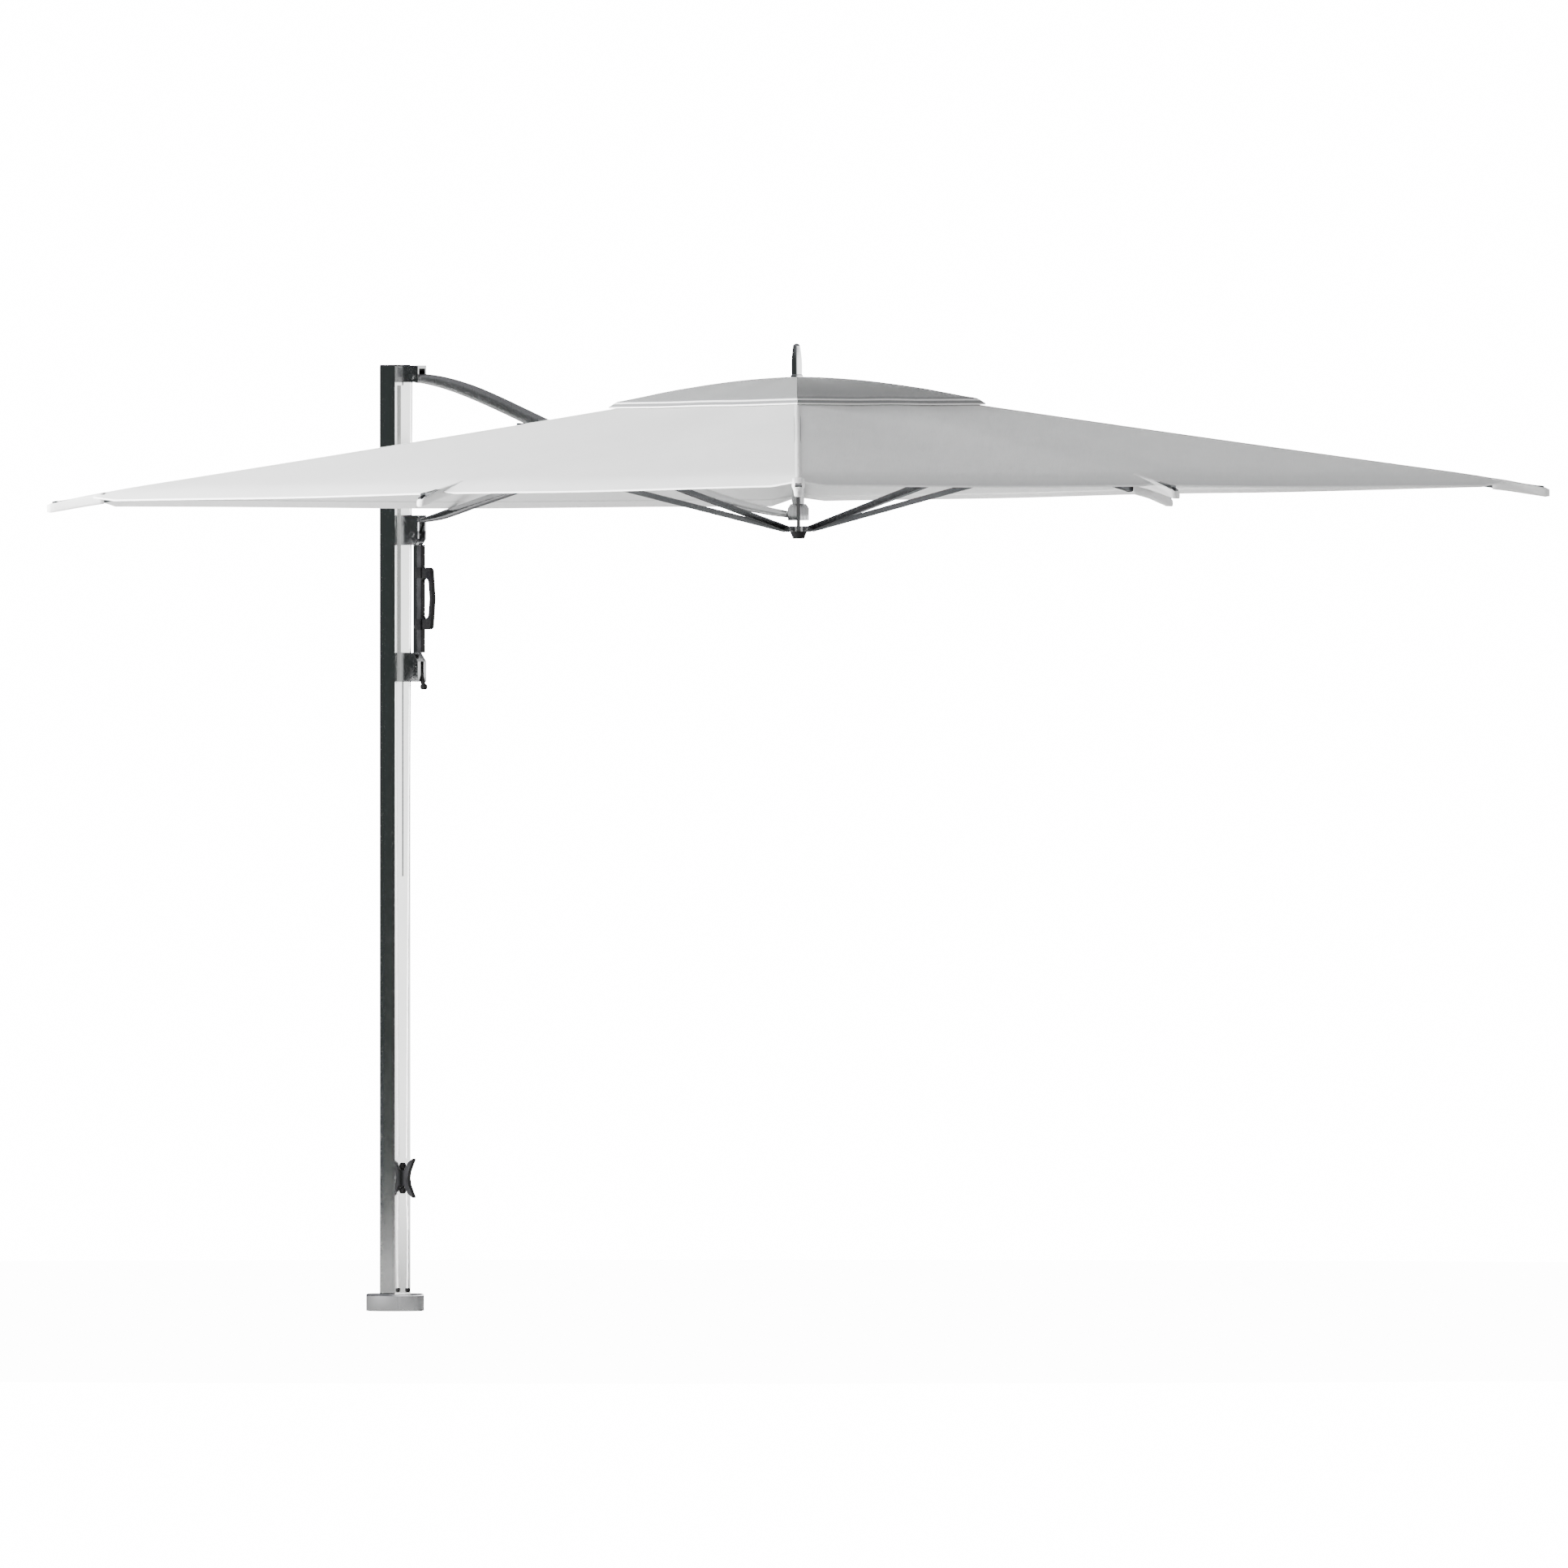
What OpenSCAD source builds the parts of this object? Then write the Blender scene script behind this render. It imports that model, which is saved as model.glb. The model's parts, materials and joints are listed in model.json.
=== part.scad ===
// Cantilever parasol: side mast, curved boom, lower arm with a sliding carriage,
// and a square canopy with a vent cap. Millimetres, +Z up, +X from the mast to the canopy.

/* [Mast] */
// Outside width of the square mast
mast_w = 62; // [56:1:70]
// Wall of the mast
mast_wall = 3; // [2.5:0.5:4]
// Height of the mast top above the ground
mast_top = 2695; // [2670:1:2710]
// Outside radius of the base collar
collar_r = 82.5; // [81:0.5:90]
// Height of the base collar
collar_h = 50; // [40:1:60]

/* [Boom and arm] */
// Distance from the mast axis to the boom pivot and the arm pivot
pivot_x = 85; // [84:1:88]
// Height of the boom pivot
boom_pivot_z = 2665; // [2660:1:2668]
// Height of the pivot between the lower arm and the carriage
arm_pivot_z = 2215; // [2212:1:2220]
// Distance from the mast axis to the joint of boom and arm
arm_joint_x = 868; // [860:1:876]
// Greatest depth of the boom
boom_depth = 40; // [36:1:42]
// Width of the boom
boom_w = 26; // [26:1:30]
// Depth of the lower arm
arm_depth = 25; // [22:1:27]

/* [Canopy] */
// Distance from the mast axis to the canopy axis
canopy_x = 1625; // [1620:1:1630]
// Tilt of the canopy, outer side up, in degrees
canopy_tilt = 0.86; // [0.5:0.02:1.2]
// Radius from the canopy axis to the tip of a corner rib
corner_tip = 2121; // [2115:1:2130]
// Radius from the canopy axis to the tip of a middle rib
mid_tip = 1500; // [1490:1:1510]
// Radius to the fabric corner
fabric_corner = 2006; // [2000:1:2010]
// Height of the fabric apex
apex_z = 2657; // [2655:1:2659]
// Height of the fabric at its corners
hem_z = 2349; // [2347:1:2351]
// Radius to the corner of the vent cap
vent_corner = 532; // [520:1:540]
// Length of a strut between its pivots
strut_len = 790; // [780:1:800]

/* [Hidden] */
$fn = 48;

// clearances
run_gap = 0.05;   // a pin in its bore, on the radius
side_gap = 1;     // between faces of different bodies

// mast
face_x = mast_w / 2;
mast_bottom = 12;
inner_w = mast_w - 2 * mast_wall;
slit_w = 5;
slit_bottom = 1240;
spigot_r = 24;
spigot_top = 560;
bush_h = 40;
bush_z = [30, 500];
plate_h = 8;
bolt_r = 5.5;
bolt_circle_r = 65;

// top bracket and carriage, both as wide as the blocks
block_w = 34;
block_front = 110;
block_back = face_x + 8.5;
cheek = 5;
boom_root_w = block_w - 2 * cheek - 2 * side_gap;
pin_r = 5;
rope_r = 3;
sheave_rope_r = pivot_x - 67;
sheave_r = 20;
sheave_w = 9;

// carriage
upper_z = [2185, 2270];
lower_z = [1795, 1878];
bar_top = 2640;
handle_x = face_x + 76;
rope_top = [67, boom_pivot_z];
rope_low = [face_x + 18, 436];

// arm triangle: equal sides, so that the carriage moves straight up and down
arm_joint_z = (boom_pivot_z + arm_pivot_z) / 2;

// head
rib_pivot_r = 42;
rib_pivot_z = 2636;
foot_z = 2231;
pole_r = 17;
rib_w = 18;
rib_d = 26;
rib_wall = 2;
lug_t = 2.6;
strut_d = 16;
strut_w = 10;
hub_pin_r = 3;
mid_depth_z = (rib_pivot_z + foot_z) / 2;
knee_r = rib_pivot_r + sqrt(pow(strut_len, 2) - pow((rib_pivot_z - foot_z) / 2, 2));
fabric_t = 2;
fabric_side = fabric_corner / sqrt(2);
inner_side = 190;   // half the side of the cloth's open middle
vent_side = vent_corner / sqrt(2);
vent_z = [2583, 2666];
rib_under = 3.5 + rib_d / 2;
finial_r = 17.5;
// ribs in order: outer, right corner, rear side, rear corner, left corner, front side, front corner
rib_angle = [0, 45, 90, 135, 225, 270, 315];
function is_corner(i) = rib_angle[i] % 90 != 0;
function drop(i) = (apex_z - hem_z) / (is_corner(i) ? fabric_corner : fabric_side);
function tip_r(i) = is_corner(i) ? corner_tip : mid_tip;

// ---------- helpers ----------
module along_y(w) rotate([90, 0, 0]) linear_extrude(w, center = true) children();
module pin_y(r, w) rotate([90, 0, 0]) cylinder(r = r, h = w, center = true);
module box_between(a, b) translate(a) cube(b - a);
module in_head()
  translate([canopy_x, 0, hem_z]) rotate([0, -canopy_tilt, 0])
    translate([0, 0, -hem_z]) children();

// point t of the cubic with end points a, b and end slopes sa, sb
function bend(a, b, sa, sb, t) = let(third = (b[0] - a[0]) / 3,
  p = [a[0] + third, a[1] + sa * third], q = [b[0] - third, b[1] - sb * third],
  s = 1 - t) s * s * s * a + 3 * s * s * t * p + 3 * s * t * t * q + t * t * t * b;
function line_of(a, b, sa, sb, n) = [for (i = [0 : n]) bend(a, b, sa, sb, i / n)];
// outline of a bar around a centre line, deep(u) thick at the share u of its length
function side_points(c, half, sign) = [for (i = [0 : len(c) - 1])
  let(p = c[max(i - 1, 0)], q = c[min(i + 1, len(c) - 1)], d = (q - p) / norm(q - p))
  c[i] + sign * half[i] * [-d[1], d[0]]];
function reversed(v) = [for (i = [len(v) - 1 : -1 : 0]) v[i]];
module bar_outline(c, half)
  polygon(concat(side_points(c, half, 1), reversed(side_points(c, half, -1))));

// ---------- base ----------
module base_plate() color("dimgray") difference() {
  union() {
    cylinder(r = collar_r - 4, h = plate_h);
    cylinder(r = spigot_r, h = spigot_top);
    cylinder(r = 40, h = mast_bottom - 2);
  }
  translate([0, 0, -1]) cylinder(r = spigot_r - 4, h = spigot_top + 2);
  for (i = [0 : 3]) rotate(45 + 90 * i) translate([bolt_circle_r, 0, -1])
    cylinder(r = bolt_r, h = plate_h + 2);
}

module base_cover() color("silver") difference() {
  rotate_extrude($fn = 96) {
    translate([0, 1]) square([collar_r, collar_h - 7]);
    translate([0, 1]) square([collar_r - 6, collar_h - 1]);
    translate([collar_r - 6, collar_h - 6]) circle(6);
  }
  translate([0, 0, -1]) cylinder(r = collar_r - 2, h = mast_bottom + 1);
  translate([0, 0, 0]) cylinder(r = 58, h = collar_h - 3);
  translate([-mast_w / 2, -mast_w / 2, 0]) cube([mast_w, mast_w, collar_h + 5]);
}

module mast_bushes() color("black") for (z = bush_z) translate([0, 0, z]) difference() {
  translate([-inner_w / 2, -inner_w / 2, 0]) cube([inner_w, inner_w, bush_h]);
  translate([0, 0, -1]) cylinder(r = spigot_r + run_gap, h = bush_h + 2);
}

// ---------- mast ----------
module mast_tube() color("dimgray") difference() {
  translate([-mast_w / 2, -mast_w / 2, mast_bottom])
    cube([mast_w, mast_w, mast_top - mast_bottom]);
  translate([-inner_w / 2, -inner_w / 2, 0]) cube([inner_w, inner_w, mast_top + 1]);
  translate([0, -slit_w / 2, slit_bottom]) cube([mast_w, slit_w, bar_top + 20 - slit_bottom]);
}

module mast_cap() color("black") {
  translate([-mast_w / 2, -mast_w / 2, mast_top]) cube([mast_w, mast_w, 4]);
  translate([-inner_w / 2, -inner_w / 2, mast_top - 15]) cube([inner_w, inner_w, 15]);
}

module top_bracket() color("dimgray") difference() {
  union() {
    box_between([face_x, -block_w / 2, 2649], [block_front, block_w / 2, 2697]);
    box_between([face_x, -block_w / 2 - 8, 2664], [face_x + 5, block_w / 2 + 8, 2690]);
  }
  box_between([61, -block_w / 2 + cheek, 2600], [block_front + 1, block_w / 2 - cheek, 2688]);
  translate([pivot_x, 0, boom_pivot_z]) pin_y(pin_r, block_w + 2);
  box_between([face_x - 1, -8, 2640], [face_x + 9.5, 8, 2661]);
}

module boom_pin() color("silver") {
  translate([pivot_x, 0, boom_pivot_z]) pin_y(pin_r, block_w);
  for (s = [-1, 1]) translate([pivot_x, s * (block_w / 2 + 1.5), boom_pivot_z]) pin_y(8, 3);
}

module top_sheave() color("black") translate([pivot_x, 0, boom_pivot_z]) rotate([90, 0, 0])
  difference() {
    cylinder(r = sheave_r - 3.5, h = sheave_w, center = true);
    rotate_extrude() translate([sheave_rope_r, 0]) circle(rope_r + 0.3);
    cylinder(r = pin_r + run_gap, h = sheave_w + 2, center = true);
  }

// ---------- rope ----------
module cleat() color("black") {
  difference() {
    translate([0, 0, 0]) along_y(12) polygon([
      [face_x, 352], [face_x, 407], [face_x + 12, 400], [face_x + 13, 404], [face_x + 26, 424],
      [face_x + 46, 436], [face_x + 47, 431], [face_x + 30, 400], [face_x + 26, 379.5],
      [face_x + 30, 359], [face_x + 47, 328], [face_x + 46, 323], [face_x + 26, 335],
      [face_x + 13, 355], [face_x + 12, 359]]);
    translate([rope_low[0], 0, 320]) cylinder(r = rope_r + 0.5, h = 120);
  }
  for (z = [344, 415]) translate([face_x, 0, z]) rotate([0, 90, 0])
    difference() { cylinder(r = 9, h = 5); translate([0, 0, 3]) cylinder(r = 4, h = 3); }
}

function rope_x(z) = rope_low[0] + (rope_top[0] - rope_low[0]) *
  (z - rope_low[1]) / (rope_top[1] - rope_low[1]);
rope_lean = atan((rope_top[0] - rope_low[0]) / (rope_top[1] - rope_low[1]));

module halyard() color("gainsboro")
  translate([rope_low[0], 0, rope_low[1]]) rotate([0, rope_lean, 0])
    cylinder(r = rope_r, h = (rope_top[1] - rope_low[1]) / cos(rope_lean) - 1);

// free end of the rope, hanging from the cleat
tail_route = [[49, 0, 340], [49, 0, 320], [50, 0, 300], [51, 0, 280], [52, 0, 260],
  [53, 0, 240], [53, 0, 220], [53, 0, 200], [53, 0, 180], [53, 0, 160],
  [53, 0, 140], [52, 0, 120], [52, 0, 100], [51, 0, 80], [51, 0, 66]];
tail_r = 3;
tail_sides = 8;
function tube_ring(p, r) = [for (k = [0 : tail_sides - 1])
  p + r * [cos(360 * k / tail_sides), sin(360 * k / tail_sides), 0]];
module rope_tail() color("gainsboro") {
  n = len(tail_route);
  points = [for (p = tail_route) each tube_ring(p, tail_r)];
  sides = [for (i = [0 : n - 2]) for (k = [0 : tail_sides - 1])
    let(j = (k + 1) % tail_sides, a = i * tail_sides)
    [a + k, a + j, a + j + tail_sides, a + k + tail_sides]];
  first = [for (k = [tail_sides - 1 : -1 : 0]) k];
  last = [for (k = [0 : tail_sides - 1]) (n - 1) * tail_sides + k];
  polyhedron(points, [for (f = concat(sides, [first, last])) reversed(f)]);
}

module rope_bead() color("black") translate([51, 0, 0]) {
  rotate_extrude() polygon([[0, 54], [5, 54], [7, 58], [7.5, 62], [6, 66], [0, 66]]);
}

// ---------- carriage ----------
// the leaning rope drifts to and fro in the bore as the carriage travels
rope_drift = 1.85;
module rope_bore(z0, z1) translate([rope_x((z0 + z1) / 2) - rope_drift, 0, z0 - 1])
  cylinder(r = 6, h = z1 - z0 + 2);

module slide_bar() color("dimgray") {
  box_between([face_x + 0.5, -15, lower_z[0]], [block_back, 15, bar_top]);
  for (z = [lower_z[0], upper_z[0], bar_top - 80])
    box_between([face_x - mast_wall - 1, -1.5, z + 2], [face_x + 0.5, 1.5, z + 78]);
}

module slide_shoes() color("black") for (z = [lower_z[0], upper_z[0], bar_top - 80])
  box_between([face_x - mast_wall - 12, -20, z + 2], [face_x - mast_wall - 1, 20, z + 78]);

module upper_side() polygon([[block_back, upper_z[0]], [block_front - 15, upper_z[0]],
  [block_front, upper_z[0] + 18], [block_front, upper_z[1]], [block_back, upper_z[1]]]);
module lower_side() polygon([[block_back, lower_z[0]], [block_front, lower_z[0]],
  [block_front, lower_z[1] - 25], [block_front - 20, lower_z[1]], [block_back, lower_z[1]]]);

module carriage_upper_block() color("dimgray") difference() {
  along_y(block_w) upper_side();
  rope_bore(upper_z[0], upper_z[1]);
  box_between([72, -block_w / 2 + cheek, upper_z[0] - 1],
    [block_front + 1, block_w / 2 - cheek, upper_z[1] + 1]);
  translate([pivot_x, 0, arm_pivot_z]) pin_y(pin_r, block_w + 2);
  box_between([104, -block_w / 2 - 1, upper_z[0] + 40], [block_front + 1, block_w / 2 + 1, 2254]);
}

module arm_root_pin() color("silver") {
  translate([pivot_x, 0, arm_pivot_z]) pin_y(pin_r, block_w);
  for (s = [-1, 1]) translate([pivot_x, s * (block_w / 2 + 1.5), arm_pivot_z]) pin_y(8, 3);
}

module carriage_lower_block() color("dimgray") difference() {
  along_y(block_w) lower_side();
  rope_bore(lower_z[0], lower_z[1]);
  box_between([76, -6, lower_z[0] - 1], [block_front + 1, 6, lower_z[0] + 58]);
  translate([96, 0, lower_z[0] + 42]) pin_y(3, block_w + 2);
}

module front_plates() color("silver") {
  for (s = [-1, 1]) box_between([104, s * block_w / 2 - (s > 0 ? cheek : 0), upper_z[0] + 40],
    [block_front, s * block_w / 2 + (s > 0 ? 0 : cheek), 2254]);
}

module handle_bar() color("dimgray")
  box_between([handle_x - 11, -9, 1878], [handle_x + 7, 9, upper_z[0]]);

module handle_rail() color("silver")
  box_between([handle_x - 25, -8, lower_z[1]], [handle_x - 15, 8, upper_z[0]]);

// D-shaped grip with a finger gap
grip_z = [1944, 2121];
grip_mid = (grip_z[0] + grip_z[1]) / 2;
grip_w = 14;
grip_out = face_x + 128;   // outer face of the grip at its middle
module grip_outline() difference() {
  hull() {
    for (z = [grip_z[0] + 9, grip_z[1] - 9]) translate([handle_x + 9, z]) circle(9);
    for (z = [grip_z[0] + 12, grip_z[1] - 12]) translate([grip_out - 19, z]) circle(12);
    translate([grip_out - 40, grip_mid]) circle(40);
  }
  hull() {
    for (z = [grip_mid - 44, grip_mid + 44]) translate([handle_x + 21, z]) circle(14);
    translate([grip_out - 39, grip_mid]) circle(26);
  }
  translate([0, grip_z[0] - 1]) square([handle_x + 7, grip_z[1] - grip_z[0] + 2]);
}
module grip() color("black") {
  along_y(grip_w) grip_outline();
  for (z = [grip_z[0], grip_z[1] - 30]) difference() {
    box_between([handle_x - 14, -12, z], [handle_x + 9, 12, z + 30]);
    box_between([handle_x - 11, -9, z - 1], [handle_x + 7, 9, z + 31]);
  }
}

module release_lever() color("black") translate([96, 0, lower_z[0] + 42]) difference() {
  union() {
    pin_y(8, 10);
    along_y(8) hull() { circle(6); translate([20, -50]) circle(5); }
    translate([21, 0, -56]) pin_y(8, 14);
  }
  pin_y(3 + run_gap, 12);
}

module lever_pin() color("silver") translate([96, 0, lower_z[0] + 42]) pin_y(3, block_w);

// ---------- boom ----------
root_half = 13;
end_half = 9;
boom_knee = [560, 2541];
boom_end = [canopy_x - 34, 2272];
boom_line = concat(line_of([pivot_x, boom_pivot_z - 4], boom_knee, -0.05, -0.335, 18),
  [for (i = [1 : 22]) bend(boom_knee, boom_end, -0.335, -0.1, i / 22)]);
function boom_half(x) = x < 400
  ? root_half + (boom_depth / 2 - root_half) * sin(90 * max(x - pivot_x, 0) / (400 - pivot_x))
  : x < 900 ? boom_depth / 2
  : end_half + (boom_depth / 2 - end_half) * cos(90 * (x - 900) / (boom_end[0] - 900));
boom_halves = [for (p = boom_line) boom_half(p[0])];

module boom() color("dimgray") difference() {
  union() {
    intersection() {
      along_y(boom_w) bar_outline(boom_line, boom_halves);
      box_between([block_front + 4, -50, 2000], [2000, 50, 3000]);
    }
    intersection() {
      along_y(boom_root_w) bar_outline(boom_line, boom_halves);
      box_between([pivot_x, -50, 2000], [block_front + 4, 50, 3000]);
    }
    translate([pivot_x, 0, boom_pivot_z]) pin_y(root_half, boom_root_w);
  }
  box_between([0, -sheave_w / 2 - side_gap, 2600], [pivot_x + sheave_r, sheave_w / 2 + side_gap, 2700]);
  translate([pivot_x, 0, boom_pivot_z]) pin_y(pin_r + run_gap, boom_root_w + 2);
  translate([arm_joint_x, 0, arm_joint_z]) pin_y(pin_r, boom_w + 2);
}

module boom_fairlead() color("black") translate([519, 0, 2530]) difference() {
  box_between([-18, -8, -16], [18, 8, 12]);
  translate([0, 0, -7]) rotate([0, 90, 0]) cylinder(r = 4, h = 60, center = true);
  box_between([-20, -10, 2], [20, 10, 30]);
}

fork_t = 5;
module arm_joint_pin() color("silver") {
  translate([arm_joint_x, 0, arm_joint_z]) pin_y(pin_r, boom_w + 2 * fork_t + 4);
  for (s = [-1, 1]) translate([arm_joint_x, s * (boom_w / 2 + fork_t + 3.5), arm_joint_z]) pin_y(8, 3);
}

// ---------- lower arm ----------
arm_root = [pivot_x, arm_pivot_z];
arm_exit = [block_front + 4, 2256];
arm_mid = [360, 2311];
arm_end = [arm_joint_x, arm_joint_z];
arm_w = boom_root_w;
arm_line = concat(line_of(arm_exit, arm_mid, 0.12, 0.235, 10),
  [for (i = [1 : 14]) bend(arm_mid, arm_end, 0.235, 0.27, i / 14)]);
function arm_half(x) = x < 200 ? 7 + (arm_depth / 2 - 7) * (x - arm_exit[0]) / (200 - arm_exit[0])
  : arm_depth / 2;
arm_halves = [for (p = arm_line) arm_half(p[0])];
fork_x = arm_joint_x - 105;
fork_w = boom_w + 2 * fork_t + 2 * side_gap;
module lower_arm() color("dimgray") difference() {
  union() {
    intersection() {
      along_y(arm_w) bar_outline(arm_line, arm_halves);
      box_between([0, -50, 2000], [fork_x, 50, 3000]);
    }
    intersection() {
      along_y(fork_w) bar_outline(arm_line, arm_halves);
      box_between([fork_x - 12, -50, 2000], [arm_joint_x, 50, 3000]);
    }
    translate([arm_joint_x, 0, arm_joint_z]) pin_y(arm_depth / 2, fork_w);
    along_y(arm_w) polygon([[pivot_x - 8, arm_pivot_z], [pivot_x + 9, arm_pivot_z],
      [102, 2230], [arm_exit[0], 2249.2], [arm_exit[0] + 1, 2263], [92, 2260], [80, 2240]]);
    translate([pivot_x, 0, arm_pivot_z]) pin_y(9, arm_w);
  }
  box_between([fork_x + 5, -boom_w / 2 - side_gap, 2000],
    [arm_joint_x + 50, boom_w / 2 + side_gap, 3000]);
  translate([pivot_x, 0, arm_pivot_z]) pin_y(pin_r + run_gap, fork_w + 2);
  translate([arm_joint_x, 0, arm_joint_z]) pin_y(pin_r + run_gap, fork_w + 2);
}

// ---------- head ----------
module centre_pole() color("dimgray") in_head() difference() {
  translate([0, 0, 2256]) cylinder(r = pole_r, h = rib_pivot_z - 12 - 2256);
  translate([0, 0, 2250]) cylinder(r = pole_r - 2.5, h = 400);
}

module head_clamp() color("dimgray") difference() {
  union() {
    in_head() {
      translate([0, 0, 2256]) cylinder(r = 30, h = 34);
      translate([0, 0, 2290]) cylinder(r1 = 30, r2 = 22, h = 12);
    }
    box_between([boom_end[0] - 5, -12, 2263], [canopy_x - 24, 12, 2281]);
  }
  box_between([boom_end[0] - 20, -30, 2200], [boom_end[0], 30, 2400]);
  in_head() translate([0, 0, 2250]) cylinder(r = pole_r, h = 100);
}

// radial forks carry each rib and each strut foot
module fork_ring(z, core_r, gap_w, h0, h1) difference() {
  union() {
    translate([0, 0, z + h0]) cylinder(r = core_r, h = h1 - h0);
    for (a = rib_angle) rotate(a) for (s = [-1, 1])
      translate([core_r - 6, s * (gap_w / 2 + 1.5) - 1.5, z + h0]) cube([rib_pivot_r + 5 - core_r + 6, 3, h1 - h0]);
  }
  for (a = rib_angle) rotate(a) translate([rib_pivot_r, 0, z]) pin_y(hub_pin_r, gap_w + 8);
}

lug_w = 10;
module top_hub() color("dimgray") in_head() {
  fork_ring(rib_pivot_z, 30, lug_w + 2 * side_gap, -8, 6);
}

module pins_at(z) for (a = rib_angle) rotate(a) translate([rib_pivot_r, 0, z])
  pin_y(hub_pin_r, lug_w + 2 * side_gap + 6);
module rib_pins() color("silver") in_head() pins_at(rib_pivot_z);
module strut_foot_pins() color("silver") in_head() pins_at(foot_z);

module finial() color("silver") in_head() {
  translate([0, 0, rib_pivot_z + 6]) cylinder(r = 5, h = 50);
  translate([0, 0, 2660]) rotate_extrude() polygon(concat([[0, 0], [finial_r, 0], [finial_r, 5], [14.5, 8]],
    [for (i = [1 : 10]) [14.5 - 4 * i / 10 + 2.2 * sin(18 * i), 8 + 78 * i / 10]],
    [for (i = [1 : 8]) [10.5 * cos(11.25 * i), 86 + 10 * sin(11.25 * i)]]));
}

module runner() color("dimgray") in_head() fork_ring(foot_z, 26, lug_w + 2 * side_gap, -7, 8);

module runner_cap() color("black") in_head() {
  translate([0, 0, foot_z - 27]) cylinder(r1 = 16, r2 = 24, h = 20);
}

// ---------- ribs ----------
function rib_z(i, r) = apex_z - drop(i) * r - rib_under;
module rib(i) in_head() rotate(rib_angle[i]) {
  slope = atan(drop(i));
  start = 78;
  r_tip = tip_r(i);
  knee_z = rib_z(i, knee_r);
  difference() {
    union() {
      translate([start, 0, rib_z(i, start)]) rotate([0, slope, 0]) {
        difference() {
          translate([0, -rib_w / 2, -rib_d / 2]) cube([(r_tip - start - 30) / cos(slope), rib_w, rib_d]);
          translate([20, -rib_w / 2 + rib_wall, -rib_d / 2 + rib_wall])
            cube([(r_tip - start - 60) / cos(slope), rib_w - 2 * rib_wall, rib_d - 2 * rib_wall]);
        }
        translate([(r_tip - start - 31) / cos(slope), 0, 0]) {
          translate([0, -rib_w / 2 - 1, -rib_d / 2 - 1]) cube([16, rib_w + 2, rib_d + 2]);
          translate([15, 0, 0]) rotate([0, 90, 0]) cylinder(r1 = 10, r2 = 7, h = 15.5);
        }
      }
      // root lug
      along_y(lug_w) polygon([[rib_pivot_r, rib_pivot_z - 6], [rib_pivot_r, rib_pivot_z + 6],
        [start + 8, rib_z(i, start) + 10], [start + 8, rib_z(i, start) - 10]]);
      translate([rib_pivot_r, 0, rib_pivot_z]) pin_y(6, lug_w);
      // two cheeks that hang down to the strut
      for (s = [-1, 1]) translate([0, s * (strut_w / 2 + side_gap + lug_t / 2), 0]) {
        along_y(lug_t) polygon([[knee_r - 26, knee_z], [knee_r + 26, knee_z],
          [knee_r + 7, mid_depth_z - 4], [knee_r - 7, mid_depth_z - 4]]);
        translate([knee_r, 0, mid_depth_z]) pin_y(9, lug_t);
      }
      translate([knee_r, 0, mid_depth_z]) pin_y(hub_pin_r, strut_w + 2 * side_gap + lug_t);
    }
    translate([rib_pivot_r, 0, rib_pivot_z]) pin_y(hub_pin_r + run_gap, lug_w + 2);
  }
}
module rib_outer() color("gray") rib(0);
module rib_right_corner() color("gray") rib(1);
module rib_rear_side() color("gray") rib(2);
module rib_rear_corner() color("gray") rib(3);
module rib_left_corner() color("gray") rib(4);
module rib_front_side() color("gray") rib(5);
module rib_front_corner() color("gray") rib(6);

// ---------- struts ----------
module strut(i) in_head() rotate(rib_angle[i])
  translate([rib_pivot_r, 0, foot_z])
    rotate([0, -asin((mid_depth_z - foot_z) / strut_len), 0]) difference() {
      union() {
        translate([0, -strut_w / 2, -strut_d / 2]) cube([strut_len, strut_w, strut_d]);
        for (x = [0, strut_len]) translate([x, 0, 0]) pin_y(strut_d / 2, strut_w);
      }
      for (x = [0, strut_len]) translate([x, 0, 0]) pin_y(hub_pin_r + run_gap, strut_w + 2);
    }
module strut_outer() color("dimgray") strut(0);
module strut_right_corner() color("dimgray") strut(1);
module strut_rear_side() color("dimgray") strut(2);
module strut_rear_corner() color("dimgray") strut(3);
module strut_left_corner() color("dimgray") strut(4);
module strut_front_side() color("dimgray") strut(5);
module strut_front_corner() color("dimgray") strut(6);

// ---------- canopy ----------
// radius of the square's edge in the direction a, and the hem height there is level
function edge_r(a, side) = side / max(abs(cos(a)), abs(sin(a)));
function cloth_z(r, a) = apex_z - (apex_z - hem_z) * r / edge_r(a, fabric_side);
function cloth(r, a) = [r * cos(a), r * sin(a), cloth_z(r, a)];
// a wing of cloth between two directions, closed and fabric_t thick
module wing(a0, a1) {
  top = [cloth(edge_r(a0, inner_side), a0), cloth(edge_r(a0, fabric_side), a0),
    cloth(edge_r(a1, fabric_side), a1), cloth(edge_r(a1, inner_side), a1)];
  low = [for (p = top) p - [0, 0, fabric_t]];
  polyhedron(concat(top, low), [[3, 2, 1, 0], [4, 5, 6, 7], [0, 1, 5, 4], [1, 2, 6, 5],
    [2, 3, 7, 6], [3, 0, 4, 7]]);
}
seam = 0.15;
wing_edge = [[-22.5, 22.5], [22.5, 67.5], [67.5, 112.5], [112.5, 180], [180, 247.5],
  [247.5, 292.5], [292.5, 337.5]];
slot_r = [735, 880];
slot_half = 20;
module panel(i) in_head() difference() {
  union() {
    wing(wing_edge[i][0] + seam, rib_angle[i]);
    wing(rib_angle[i], wing_edge[i][1] - seam);
  }
  box_between([-slot_r[1], -slot_half, 2200], [-slot_r[0], slot_half, 2700]);
}
module panel_outer() color("whitesmoke") panel(0);
module panel_right_corner() color("whitesmoke") panel(1);
module panel_rear_side() color("whitesmoke") panel(2);
module panel_rear_corner() color("whitesmoke") panel(3);
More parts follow.
